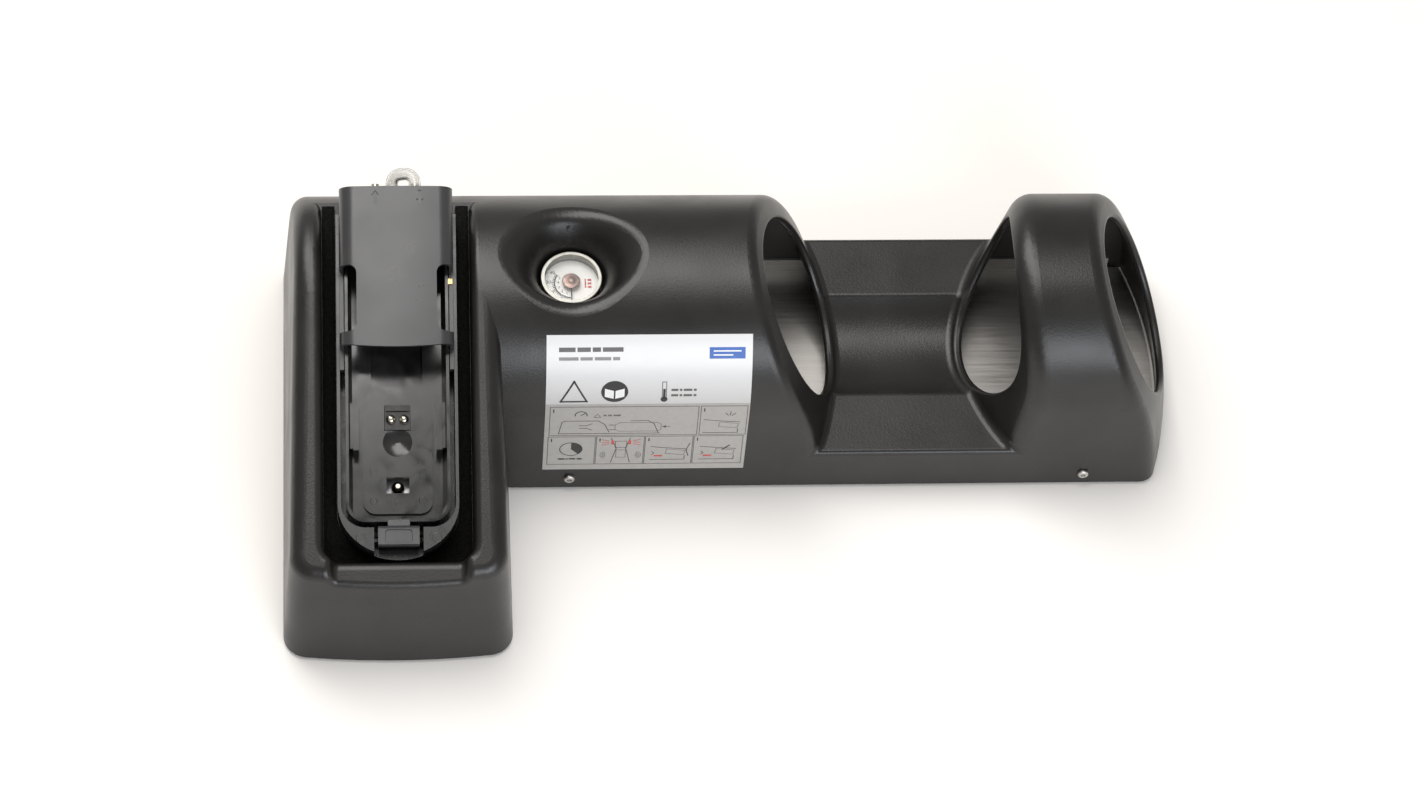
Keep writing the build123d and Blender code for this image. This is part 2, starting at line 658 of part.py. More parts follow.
# ---- cradle -------------------------------------------------------------------------------
TRAY_TIP = 15.0           # front tip of the cradle, along the slope
TRAY_BACK = 180.0
GROOVE = 2.4              # gap between the tub and the tray, which the hood's sides slide into
TRAY_TOP = -3.5
FLOOR_T = 2.0
TUB_FRONT = 31.0
TUB_BACK = TRAY_BACK - 1.5 - GROOVE
TUB_RIM = -2.0
TUB_FLOOR = -20.5
TUB_WALL = 1.2
PLATEAU = -18.0
LATCH_HALF = 9.7
LATCH_SLOT = 11.6
LATCH_PIN_S = 24.5
LATCH_PIN_H = -15.0
LATCH_PIN_R = 1.5


def cradle_base():
    """Outer tray: thin side walls, a solid crescent at the rounded front, a slot for the latch."""
    half = CRADLE_W / 2
    outline = Pos(0, TRAY_TIP + 25) * Ellipse(half, 25)
    outline = outline + Pos(0, (TRAY_TIP + 25 + TRAY_BACK) / 2) * Rectangle(
        CRADLE_W, TRAY_BACK - TRAY_TIP - 25)
    tray = slope_prism(outline, -CHANNEL_D, TRAY_TOP)
    inside = rounded(CRADLE_W - 3, 100, 11.5, TUB_FRONT - GROOVE + 50)
    back = Pos(0, (100 + TUB_BACK + GROOVE) / 2) * Rectangle(CRADLE_W - 3, TUB_BACK + GROOVE - 100)
    inside = inside + back
    tray = tray - slope_prism(inside, -CHANNEL_D + FLOOR_T, 10)
    tray = tray - slope_box(-LATCH_SLOT, LATCH_SLOT, 0, 30, -16, 10)
    tray = tray - slope_box(-LATCH_SLOT, LATCH_SLOT, TRAY_TIP + 3, 30, -22, 10)
    tray = tray - on_slope(0, LATCH_PIN_S, LATCH_PIN_H) * Rot(0, 90, 0) * Cylinder(LATCH_PIN_R, 28)
    for hole in floor_holes(-CHANNEL_D - 1, -CHANNEL_D + FLOOR_T + 1):
        tray = tray - hole
    return tray


def cradle_tub():
    """Inner tub for the detector: leaning walls, raised floor, clip pocket, side pads."""
    length = TUB_BACK - TUB_FRONT
    middle = (TUB_FRONT + TUB_BACK) / 2
    low = TUB_FLOOR - 1.5
    tub = slope_prism(rounded(TUB_W, length, 9, middle), low, TUB_RIM)
    inner = Pos(0, middle) * RectangleRounded(TUB_W - 2 * TUB_WALL - 4, length - 2 * TUB_WALL - 4, 6)
    hollow = slope.location * Pos(0, 0, TUB_FLOOR) * extrude(inner, -TUB_FLOOR + 10, taper=-5.5)
    tub = tub - hollow
    tub = tub + slope_prism(rounded(32.8, 52, 6, 37.6 + 26), low, PLATEAU)
    tub = tub + slope_prism(rounded(27, 42, 3, 111), -CHANNEL_D + FLOOR_T + 0.2, low + 0.1)
    tub = tub - slope_prism(rounded(24.4, 39.4, 4, 110.2), -CHANNEL_D + FLOOR_T + 1.4, 0)
    tub = tub - on_slope(0, 72, PLATEAU + 13.5) * Sphere(15.2)
    for way in (-1, 1):
        tub = tub + slope_box(way * 19.6 - 1.3, way * 19.6 + 1.3, 66, 91, TUB_FLOOR - 0.1, -5.5)
        tub = tub + slope_box(way * 21.2 - 1.4, way * 21.2 + 1.4, 67.5, 89.5, TUB_FLOOR - 0.1, -9)
        for s in (42, 150):
            tub = tub + on_slope(way * 20, s, low - 1.5) * Cylinder(2.5, 3.0)
    tub = tub - slope_box(18, 21.2, 76, 79.5, -15, -9)
    tub = tub - slope_box(-5.4, 5.4, 47.5, 55.2, -40, 0)
    tub = tub - slope_box(-6.2, 6.2, CONTACT_S - 6.2, CONTACT_S + 6.2, -40, 0)
    return tub - slope_box(-5.4, 5.4, TUB_FRONT - 1, TUB_FRONT + 2.8, -5.6, 0)


def cradle_screws():
    head = Pos(0, 0, 0.9) * Cylinder(2.6, 1.6) - Pos(0, 0, 1.0) * extrude(RegularPolygon(1.2, 6), 1)
    screw = head + Pos(0, 0, -4.5) * Cylinder(1.4, 9.3)
    top = -CHANNEL_D + FLOOR_T
    return group(on_slope(x, s, top) * screw for x, s in CRADLE_SCREWS)


CONTACT_TOP = -17.2
CONTACT_LOW = -38.0
CONTACT_XS = {"left": -3.1, "right": 3.1}
CONTACT_R = 2.35
CONTACT_FOOT = -27.0
CONTACT_TRAVEL = 1.5


def contact_block():
    block = slope_box(-6, 6, CONTACT_S - 6, CONTACT_S + 6, CONTACT_LOW, CONTACT_TOP)
    for x in CONTACT_XS.values():
        block = block - on_slope(x, CONTACT_S - 1, -25) * Cylinder(CONTACT_R + 0.05, 22)
    block = block - slope_box(-5.4, 5.4, CONTACT_S + 2.4, CONTACT_S + 3.2, CONTACT_TOP - 1, 0)
    return block


def contact_pin(x):
    """Sprung contact with a domed head."""
    pin = Pos(0, 0, (CONTACT_FOOT - 17) / 2) * Cylinder(CONTACT_R, -17 - CONTACT_FOOT)
    dome = Pos(0, 0, -17) * Sphere(CONTACT_R)
    return on_slope(x, CONTACT_S - 1, 0) * (pin + dome)


def contact_spring(x):
    return on_slope(x, CONTACT_S - 1, 0) * spring(1.75, 0.25, -36, CONTACT_FOOT, 6)


def latch_lever():
    """Release lever: a block on the pin, with a nose over the tub's rim and a finger recess."""
    with BuildSketch(Plane.YZ) as profile:
        with BuildLine():
            Polyline((20.4, -3.0), (19.8, -4.5), (21.5, -18.0), (28.6, -18.0), (28.6, -5.4),
                     (32.7, -5.0), (32.7, -3.6), (31.6, -1.2), (29.0, -1.2), (28.2, -3.0), (20.4, -3.0))
        make_face()
    lever = extrude(profile.sketch, LATCH_HALF, both=True)
    for way in (-1, 1):
        lever = lever - Pos(way * 10.1, 31.3, -3) * Box(10, 5, 8)
    dish = Pos(0, 24.2, -3.8) * extrude(RectangleRounded(12.6, 6.4, 1.5), 5, taper=-12)
    lever = lever - dish
    lever = lever - Pos(0, LATCH_PIN_S, LATCH_PIN_H) * Rot(0, 90, 0) * Cylinder(LATCH_PIN_R + 0.06, 40)
    return slope.location * lever


def latch_pin():
    return on_slope(0, LATCH_PIN_S, LATCH_PIN_H) * Rot(0, 90, 0) * Cylinder(LATCH_PIN_R, 27.6)


def latch_spring():
    coil = spring(2.15, 0.3, 9.85, 11.45, 2)
    return on_slope(0, LATCH_PIN_S, LATCH_PIN_H) * Rot(0, 90, 0) * coil


def wall_contact():
    """Brass leaf between the tub and the hood's side, with a tab bent over the side's edge."""
    leaf = slope_box(24.55, 24.95, 145.5, 148.0, -9, -2.3)
    return leaf + slope_box(24.55, 26.6, 145.5, 148.0, -3.0, -2.3)


# ---- gas hood and clear hose --------------------------------------------------------------
HOOD_HALF = 26.9
HOOD_T = 1.9
HOOD_FRONT = 112.2        # middle of the hood's bowed front edge
HOOD_BOW_R = 202.0
HOOD_BACK = 190.0
HOOD_TOP = 12.0
HOOD_LOW = -12.0
ARM_FRONT = 104.0
NIPPLE_H = 5.0
NIPPLE_XS = {"outlet": -9.7, "inlet": 9.1}


def hood_section(inset):
    """Cross-section of the hood: straight sides, round shoulders, slightly crowned top."""
    half = HOOD_HALF - inset
    top = HOOD_TOP - inset
    with BuildSketch(Plane.XZ) as section:
        with BuildLine():
            Polyline((half, top - 1.2), (half, HOOD_LOW - inset), (-half, HOOD_LOW - inset),
                     (-half, top - 1.2))
            ThreePointArc((-half, top - 1.2), (0, top), (half, top - 1.2))
        make_face()
        shoulders = section.vertices().group_by(Axis.Z)[-1]
        fillet(shoulders, 7 - inset)
    return section.sketch


def hood_prism(inset, s0, s1):
    return slope.location * Pos(0, s0, 0) * extrude(hood_section(inset), s1 - s0, dir=(0, 1, 0))


def arrow(x, s, way):
    """Block arrow along the slope, way +1 points up it."""
    with BuildSketch() as shape:
        with BuildLine():
            Polyline((0, 3.4), (1.8, 1.0), (0.7, 1.0), (0.7, -3.4), (-0.7, -3.4), (-0.7, 1.0),
                     (-1.8, 1.0), (0, 3.4))
        make_face()
    turned = shape.sketch if way > 0 else Rot(0, 0, 180) * shape.sketch
    return on_slope(x, s, HOOD_TOP - 0.9) * extrude(turned, 3)


def hood():
    """Gas hood over the sensor end: open in front and below, closed behind, notched at its sides."""
    cover = hood_prism(0, ARM_FRONT, HOOD_BACK) - hood_prism(HOOD_T, ARM_FRONT - 1, HOOD_BACK - HOOD_T)
    front = slope_prism(Pos(0, HOOD_FRONT - 50) * Rectangle(80, 120) -
                        Pos(0, HOOD_FRONT + HOOD_BOW_R) * Circle(HOOD_BOW_R), -2, 40)
    cover = cover - front
    cover = cover - slope_box(-30, 30, HOOD_BACK - HOOD_T - 0.5, HOOD_BACK + 1, -30, -1)
    cover = cover - slope_box(-30, 30, TUB_BACK - 1, HOOD_BACK + 1, -30, TRAY_TOP + 0.2)
    notch = Pos(0, 136) * (Pos(24.9, 0) * RectangleRounded(12, 32.2, 4)
                           + Pos(-24.9, 0) * RectangleRounded(12, 32.2, 4))
    cover = cover - slope_prism(notch, TRAY_TOP + 0.2, 30)
    for x in NIPPLE_XS.values():
        cover = cover - on_slope(x, HOOD_BACK, NIPPLE_H) * Rot(90, 0, 0) * Cylinder(1.95, 8)
    return cover - arrow(-9.7, 184.6, 1) - arrow(11.3, 184.6, -1)


def hood_gasket():
    """Soft pad under the hood's top that seals round the detector's gas ports."""
    outline = rounded(34, 26, 4, 162) - rounded(24, 16, 3, 162)
    return slope_prism(outline, HOOD_TOP - HOOD_T - 3, HOOD_TOP) & hood_prism(HOOD_T + 0.02, 140, 185)


def hood_nipples():
    nipple = Pos(0, 0, -0.4) * Cylinder(1.9, 5.6)
    flange = Pos(0, 0, -HOOD_T - 0.65) * Cylinder(3.2, 1.2)
    nipple = nipple + flange - Cylinder(1.0, 30)
    return group(on_slope(x, HOOD_BACK, NIPPLE_H) * Rot(-90, 0, 0) * nipple
                 for x in NIPPLE_XS.values())


def hose(points, radii, name):
    """Hollow hose of straight runs and tangent arcs; prints its length and its volume check."""
    path = FilletPolyline(*points, radius=radii)
    end = Plane(origin=path @ 0, z_dir=path % 0)
    tube = sweep(end * (Circle(HOSE_R) - Circle(HOSE_BORE)), path=path)
    section = math.pi * (HOSE_R**2 - HOSE_BORE**2)
    print(name, "length", round(path.length, 1), "volume / section x length",
          round(tube.volume / (section * path.length), 4), "radii", radii)
    return tube


def slope_points(points):
    return [(slope.location * Pos(*p)).position for p in points]


def hose_loop():
    """From the valve's outlet up through the channel's floor and over into the hood's inlet."""
    route = [(-6.0, 62.6, -46), (-6.0, 92, -46), (-4.4, 130, -50.5), (HOSE_X, 160, -50),
             (HOSE_X, 184.5, -38), (HOSE_X, 186, -9), (HOSE_X, 198, 1), (9.1, 198, NIPPLE_H),
             (9.1, HOOD_BACK + 0.2, NIPPLE_H)]
    return hose(slope_points(route), [60, 60, 30, 18, 13, 5.3, 5.3], "hose_loop")


def hose_supply():
    """From the regulator's outlet to the valve's inlet."""
    start = slope_points([(6.0, 62.6, BARB_H), (6.0, 96, BARB_H)])
    bend = [(-156, 36, BORE_Z - 2), (-142, TUBE_Y, BORE_Z), (DISC_X - 1.6, TUBE_Y, BORE_Z)]
    return hose(start + bend, [40, 22, 20], "hose_supply")


NODES = {
    "housing_shell": housing_shell, "base_plate": base_plate, "rubber_feet": rubber_feet,
    "foot_screws": foot_screws, "housing_screws": housing_screws,
    "instruction_label": instruction_label, "gauge_case": gauge_case, "gauge_bezel": gauge_bezel,
    "gauge_dial": gauge_dial, "gauge_pointer": gauge_pointer, "gauge_lens": gauge_lens,
    "gauge_stem": gauge_stem, "regulator_body": regulator_body,
    "cylinder_connector": cylinder_connector, "inlet_seal": inlet_seal,
    "regulator_bracket": regulator_bracket, "bracket_screws": bracket_screws,
    "outlet_barb": outlet_barb, "valve_body": valve_body, "valve_cap": valve_cap,
    "valve_plunger": valve_plunger, "valve_spring": valve_spring, "valve_barbs": valve_barbs,
    "cradle_base": cradle_base, "cradle_tub": cradle_tub, "cradle_screws": cradle_screws,
    "contact_block": contact_block, "latch_lever": latch_lever, "latch_pin": latch_pin,
    "latch_spring": latch_spring, "wall_contact": wall_contact, "hood": hood,
    "hood_gasket": hood_gasket, "hood_nipples": hood_nipples, "hose_loop": hose_loop,
    "hose_supply": hose_supply,
}

for node, make in NODES.items():
    save(make(), node)
for name, x in CONTACT_XS.items():
    save(contact_pin(x), f"contact_pin_{name}")
    save(contact_spring(x), f"contact_spring_{name}")
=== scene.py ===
import math

import bmesh
import bpy
from mathutils import Matrix, Vector
from mathutils.bvhtree import BVHTree


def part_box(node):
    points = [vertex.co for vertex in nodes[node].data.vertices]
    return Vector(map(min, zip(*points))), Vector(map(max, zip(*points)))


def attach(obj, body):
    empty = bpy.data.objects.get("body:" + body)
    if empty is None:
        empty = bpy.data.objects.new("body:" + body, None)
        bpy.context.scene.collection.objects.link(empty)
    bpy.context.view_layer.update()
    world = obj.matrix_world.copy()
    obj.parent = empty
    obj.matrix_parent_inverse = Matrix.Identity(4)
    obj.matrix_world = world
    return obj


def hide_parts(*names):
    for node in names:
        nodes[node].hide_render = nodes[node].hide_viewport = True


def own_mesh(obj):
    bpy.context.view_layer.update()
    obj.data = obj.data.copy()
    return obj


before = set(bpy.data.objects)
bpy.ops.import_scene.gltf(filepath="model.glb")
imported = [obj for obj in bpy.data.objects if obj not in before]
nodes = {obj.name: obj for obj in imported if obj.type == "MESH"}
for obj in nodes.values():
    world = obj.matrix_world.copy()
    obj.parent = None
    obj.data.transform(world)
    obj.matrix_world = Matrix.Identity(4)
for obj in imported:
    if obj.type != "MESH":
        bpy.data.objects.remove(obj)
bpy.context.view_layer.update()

# Looks of a bump-test and docking station for a portable gas detector.
# Metres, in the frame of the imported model. Lengths written in millimetres are turned by MM.
MM = 0.001
SLOPE = math.radians(19)                  # the pod's top, front to back
POD_ORIGIN = (-165.5, -106.27, 64.6)      # millimetres: foot of the slope, in the middle of the pod
BODY = "station"                          # the body that everything fixed rides on


# ---- camera, floor and light --------------------------------------------------------------
CAMERA_PLACE = (-0.1906, -1.0743, 1.8474)
CAMERA_TARGET = (-0.0115, 0.0147, 0.030)
CAMERA_LENS = 109.73
CAMERA_ROLL = 7.545                       # degrees


def make_camera():
    """A long lens above and in front of the cradle, turned a little towards the ring."""
    data = bpy.data.cameras.new("camera")
    data.sensor_width = 36
    data.lens = CAMERA_LENS
    camera = bpy.data.objects.new("camera", data)
    bpy.context.scene.collection.objects.link(camera)
    camera.location = CAMERA_PLACE
    roll = math.radians(CAMERA_ROLL)
    aim = (Vector(CAMERA_TARGET) - camera.location).to_track_quat("-Z", "Y").to_matrix()
    camera.rotation_euler = (aim @ Matrix.Rotation(roll, 3, "Z")).to_euler()
    bpy.context.scene.camera = camera


def make_light(name, place, target, size, power, color):
    """A rectangular soft box that faces the target."""
    data = bpy.data.lights.new(name, "AREA")
    data.shape = "RECTANGLE"
    data.size, data.size_y = size
    data.energy = power
    data.color = color
    light = bpy.data.objects.new(name, data)
    light.location = place
    light.rotation_euler = (Vector(target) - Vector(place)).to_track_quat("-Z", "Y").to_euler()
    bpy.context.scene.collection.objects.link(light)


def make_studio():
    """A pale floor, a dim surround, and soft boxes overhead and low at the front right."""
    bpy.ops.mesh.primitive_plane_add(size=12, location=(0, 0, 0))
    floor = bpy.context.object
    floor.name = "floor"
    floor.data.materials.append(floor_finish())
    world = bpy.data.worlds.new("surround")
    world.use_nodes = True
    background = world.node_tree.nodes["Background"]
    background.inputs["Color"].default_value = (1.0, 0.985, 0.965, 1)
    background.inputs["Strength"].default_value = 0.36
    bpy.context.scene.world = world
    bpy.context.scene.view_settings.view_transform = "Standard"
    middle = (0, 0, 0.05)
    make_light("top_box", (-0.36, 0.56, 1.46), middle, (1.0, 1.75), 26, (1.0, 0.985, 0.97))
    make_light("front_box", (0.42, -1.38, 0.68), middle, (1.2, 0.7), 15, (0.90, 0.935, 1.0))


# ---- materials ----------------------------------------------------------------------------
class Finish:
    """A node material: object coordinates in metres go in, one Principled shader comes out."""

    def __init__(self, name, color, roughness, **sockets):
        self.material = bpy.data.materials.new(name)
        self.material.use_nodes = True
        self.tree = self.material.node_tree
        self.shader = self.tree.nodes["Principled BSDF"]
        self.place = self.add("ShaderNodeTexCoord").outputs["Object"]
        self.shader.inputs["Base Color"].default_value = (*color, 1)
        self.shader.inputs["Roughness"].default_value = roughness
        for socket, value in sockets.items():
            self.shader.inputs[socket.replace("_", " ")].default_value = value
        self.normal = None

    def add(self, kind, inputs=None, **settings):
        """A new node; an input is either a value or another node's socket."""
        node = self.tree.nodes.new(kind)
        for key, value in settings.items():
            setattr(node, key, value)
        for key, value in (inputs or {}).items():
            if isinstance(value, bpy.types.NodeSocket):
                self.tree.links.new(value, node.inputs[key])
            else:
                node.inputs[key].default_value = value
        return node

    def stretched(self, scale):
        """Object coordinates scaled by three factors, for grain that runs one way."""
        return self.add("ShaderNodeMapping", {"Vector": self.place, "Scale": scale}).outputs[0]

    def noise(self, scale, detail=3.0, distortion=0.0, place=None):
        return self.add("ShaderNodeTexNoise", {
            "Vector": place or self.place, "Scale": scale, "Detail": detail,
            "Distortion": distortion}).outputs[0]

    def cells(self, scale, feature="SMOOTH_F1"):
        """Rounded pebbles: the distance to the nearest of scattered points."""
        return self.add("ShaderNodeTexVoronoi", {"Vector": self.place, "Scale": scale},
                        feature=feature).outputs["Distance"]

    def spread(self, value, low, high, start=0.35, end=0.65):
        """The value's start..end stretched to low..high."""
        return self.add("ShaderNodeMapRange", {
            "Value": value, "From Min": start, "From Max": end, "To Min": low,
            "To Max": high}).outputs[0]

    def tint(self, value, first, second, start=0.35, end=0.65):
        """Base colour from first to second as the value goes from start to end."""
        mixed = self.add("ShaderNodeMix", {"Factor": self.spread(value, 0, 1, start, end)},
                         data_type="RGBA")
        mixed.inputs["A"].default_value = (*first, 1)
        mixed.inputs["B"].default_value = (*second, 1)
        self.tree.links.new(mixed.outputs["Result"], self.shader.inputs["Base Color"])

    def rough(self, value, low, high, start=0.35, end=0.65):
        """Roughness from low to high as the value goes from start to end."""
        self.tree.links.new(self.spread(value, low, high, start, end), self.shader.inputs["Roughness"])

    def bump(self, height, depth, strength=1.0):
        """Adds relief of that depth in metres on top of any earlier relief."""
        node = self.add("ShaderNodeBump", {"Height": height, "Distance": depth, "Strength": strength})
        if self.normal:
            self.tree.links.new(self.normal, node.inputs["Normal"])
        self.normal = node.outputs[0]
        self.tree.links.new(self.normal, self.shader.inputs["Normal"])


def floor_finish():
    """Warm white surface, a touch uneven."""
    f = Finish("studio_floor", (0.94, 0.91, 0.87), 0.6)
    f.tint(f.noise(3), (0.935, 0.905, 0.865), (0.945, 0.915, 0.875))
    return f.material


def housing_finish():
    """Moulded black plastic with a fine pebble grain."""
    f = Finish("housing_black", (0.012, 0.011, 0.010), 0.33)
    f.tint(f.noise(45, 4), (0.0095, 0.0088, 0.0080), (0.0140, 0.0130, 0.0118))
    f.rough(f.noise(28, 5, 0.4), 0.29, 0.38)
    f.bump(f.cells(1250), 0.00008, 0.5)
    f.bump(f.noise(3600, 2), 0.00003, 0.45)
    return f.material


def hood_finish():
    """Satin dark grey plastic, finer grained than the shell."""
    f = Finish("hood_satin_grey", (0.030, 0.0303, 0.031), 0.3, IOR=1.65)
    f.tint(f.noise(60, 3), (0.028, 0.0283, 0.029), (0.034, 0.0343, 0.035))
    f.rough(f.noise(40, 4), 0.27, 0.33)
    f.bump(f.noise(2600, 3), 0.00003, 0.5)
    return f.material


def cradle_finish():
    """Glossy black plastic, smeared by handling, with a faint ripple from the mould."""
    f = Finish("cradle_gloss_black", (0.012, 0.0118, 0.0118), 0.28, IOR=1.66)
    f.tint(f.noise(70, 4), (0.010, 0.0098, 0.0098), (0.015, 0.0147, 0.0147))
    f.rough(f.noise(110, 5, 0.6), 0.23, 0.33)
    f.bump(f.noise(60, 2), 0.00012, 0.25)
    f.bump(f.noise(2400, 2), 0.00001, 0.4)
    return f.material


def tub_finish():
    """Shinier black plastic of the inner tub, with smears of dust."""
    f = Finish("tub_gloss_black", (0.010, 0.0098, 0.0098), 0.16, IOR=1.6)
    f.tint(f.noise(55, 5, 1.2), (0.007, 0.0068, 0.0068), (0.019, 0.0185, 0.018))
    f.rough(f.noise(75, 5, 0.8), 0.10, 0.24)
    f.bump(f.noise(60, 2), 0.00010, 0.2)
    return f.material


def latch_finish():
    """Black plastic of the latch, a little lighter than the cradle."""
    f = Finish("latch_black", (0.045, 0.045, 0.046), 0.3, IOR=1.66)
    f.tint(f.noise(90, 3), (0.041, 0.041, 0.042), (0.052, 0.052, 0.053))
    f.rough(f.noise(60, 4), 0.26, 0.36)
    f.bump(f.noise(2200, 2), 0.00003, 0.5)
    return f.material


def steel_sheet_finish():
    """Rolled stainless sheet with its grain along the station."""
    f = Finish("steel_sheet_brushed", (0.60, 0.59, 0.57), 0.36, Metallic=1.0, Anisotropic=0.3)
    grain = f.noise(900, 3, 0.0, f.stretched((0.03, 1, 1)))
    f.tint(grain, (0.50, 0.48, 0.455), (0.56, 0.54, 0.51))
    f.rough(grain, 0.34, 0.40)
    f.bump(grain, 0.000005, 0.4)
    f.bump(f.noise(14, 2), 0.00020, 0.12)
    return f.material


def metal_finish(name, dark, light, low, high):
    """Turned or drawn metal with fine tool marks and faint stains."""
    f = Finish(name, light, low, Metallic=1.0)
    f.tint(f.noise(220, 4), dark, light)
    f.rough(f.noise(350, 4, 0.3), low, high)
    f.bump(f.noise(1500, 2, 0.0, f.stretched((1, 1, 4))), 0.000004, 0.3)
    return f.material


def foam_finish():
    """Near-black matt sheet, cell-bumped, with nearly no reflection: painted shade, a dark surface laid
    where the channel's deep gap lies in shade.
    """
    f = Finish("painted_shade_black", (0.006, 0.006, 0.005), 0.95)
    f.shader.inputs["Specular IOR Level"].default_value = 0.1
    f.tint(f.cells(900), (0.004, 0.004, 0.0035), (0.009, 0.009, 0.008), 0.1, 0.6)
    f.rough(f.noise(300, 3), 0.9, 1.0)
    f.bump(f.cells(900), 0.0003, 0.8)
    return f.material


def rubber_finish():
    """Matt black rubber of feet and seals."""
    f = Finish("rubber_black", (0.02, 0.02, 0.02), 0.75)
    f.tint(f.noise(120, 4), (0.016, 0.016, 0.016), (0.032, 0.032, 0.031))
    f.rough(f.noise(300, 3), 0.66, 0.84)
    f.bump(f.noise(2400, 3), 0.00005, 0.7)
    return f.material


def label_finish():
    """Coated polyester, white, with painted shade: its colour goes to grey lower down, where less light
    falls, with the shell's grain under it.
    """
    f = Finish("label_white", (0.83, 0.83, 0.83), 0.3, Coat_Weight=0.25, Coat_Roughness=0.2)
    height = f.add("ShaderNodeSeparateXYZ", {"Vector": f.place}).outputs["Z"]
    # painted shade: lighter grey above 86 mm, darker grey below 62 mm, for the light that falls from
    # overhead
    f.tint(height, (0.44, 0.43, 0.415), (0.69, 0.69, 0.69), 0.062, 0.086)
    f.rough(f.noise(150, 3), 0.28, 0.34)
    f.bump(f.noise(500, 2), 0.000008, 0.2)
    return f.material


def ink_finish(name, color):
    """Screen-printed ink with slight unevenness in its cover."""
    f = Finish(name, color, 0.42)
    lighter = tuple(min(1.0, c * 1.06 + 0.004) for c in color)
    f.tint(f.noise(400, 3), color, lighter)
    f.rough(f.noise(300, 3), 0.38, 0.46)
    f.bump(f.noise(3000, 2), 0.000003, 0.2)
    return f.material


def dial_finish():
    """Matt white enamel."""
    f = Finish("dial_white", (0.93, 0.92, 0.88), 0.5)
    f.tint(f.noise(400, 3), (0.92, 0.91, 0.87), (0.94, 0.93, 0.89))
    f.rough(f.noise(700, 3), 0.42, 0.55)
    f.bump(f.noise(2500, 2), 0.00001, 0.4)
    return f.material


def pointer_finish():
    """Black lacquer of the pointer."""
    f = Finish("pointer_black", (0.010, 0.010, 0.012), 0.35)
    f.tint(f.noise(900, 3), (0.008, 0.008, 0.010), (0.02, 0.02, 0.022))
    f.rough(f.noise(1200, 2), 0.3, 0.42)
    f.bump(f.noise(3000, 2), 0.00001, 0.4)
    return f.material


def lens_finish():
    """Thin clear acrylic: nearly all see-through, so that light still reaches the dial."""
    f = Finish("lens_clear", (0.70, 0.70, 0.70), 0.02, Alpha=0.07, IOR=1.6)
    f.rough(f.noise(150, 4), 0.01, 0.05)
    f.bump(f.noise(40, 2), 0.00001, 0.1)
    return f.material


def hose_finish():
    """Clear soft hose, a little cloudy, with drawing lines along it."""
    f = Finish("hose_clear", (0.93, 0.93, 0.91), 0.12, IOR=1.43)
    f.shader.inputs["Transmission Weight"].default_value = 0.86
    f.tint(f.noise(120, 3), (0.88, 0.88, 0.86), (0.96, 0.96, 0.945))
    f.rough(f.noise(240, 3), 0.08, 0.2)
    f.bump(f.noise(500, 3), 0.00003, 0.4)
    return f.material


def dark_plastic_finish():
    """Small moulded insulators, a little browner than the cradle."""
    f = Finish("insulator_dark", (0.022, 0.021, 0.020), 0.4)
    f.tint(f.noise(200, 3), (0.018, 0.017, 0.016), (0.030, 0.029, 0.027))
    f.rough(f.noise(300, 3), 0.32, 0.46)
    f.bump(f.noise(2600, 2), 0.00002, 0.5)
    return f.material


FINISHES = {
    "housing": housing_finish(),
    "hood": hood_finish(),
    "cradle": cradle_finish(),
    "latch": latch_finish(),
    "steel_sheet": steel_sheet_finish(),
    "stainless": metal_finish("stainless_screw", (0.50, 0.48, 0.45), (0.60, 0.58, 0.55), 0.36, 0.46),
    "rubber": rubber_finish(),
    "label": label_finish(),
    "gauge_steel": metal_finish("gauge_steel", (0.36, 0.35, 0.32), (0.42, 0.41, 0.38), 0.36, 0.46),
    "dial": dial_finish(),
    "pointer": pointer_finish(),
    "lens": lens_finish(),
    "brass": metal_finish("brass_turned", (0.55, 0.38, 0.14), (0.75, 0.56, 0.26), 0.22, 0.36),
    "nickel_brass": metal_finish("nickel_brass", (0.62, 0.58, 0.48), (0.82, 0.78, 0.66), 0.14, 0.26),
    "aluminium": metal_finish("aluminium_turned", (0.50, 0.51, 0.52), (0.66, 0.67, 0.68), 0.28, 0.42),
    "clear_hose": hose_finish(),
    "spring_steel": metal_finish("spring_steel", (0.05, 0.05, 0.052), (0.10, 0.10, 0.10), 0.3, 0.42),
    "dark_plastic": dark_plastic_finish(),
}
INKS = {
    "grey": ink_finish("ink_grey", (0.10, 0.095, 0.095)),
    "light": ink_finish("ink_light_grey", (0.23, 0.22, 0.22)),
    "panel": ink_finish("ink_panel", (0.355, 0.34, 0.32)),
    "black": ink_finish("ink_black", (0.016, 0.015, 0.015)),
    "blue": ink_finish("ink_blue", (0.030, 0.115, 0.42)),
    "red": ink_finish("ink_red", (0.50, 0.055, 0.045)),
    "white": ink_finish("ink_white", (0.78, 0.78, 0.77)),
}


def paint_cad_nodes():
    """Each CAD node gets the finish of its slot, except that the tub is shinier than the rest of it."""
    for node in nodes.values():
        slot = node.data.materials[0].name.split(".")[0]
        node.data.materials[0] = FINISHES[slot]
    nodes["cradle_tub"].data.materials[0] = tub_finish()


# ---- flat drawings laid on a surface ------------------------------------------------------
PRINT_T = 0.00005         # metres: thickness of the label's print, and its height over the label
PRINT_LIFT = 0.00003      # how much higher each further layer lies
DISC_STEP = 12            # degrees between the points of a disc's rim, and of an arc
ARC_STEP = 10


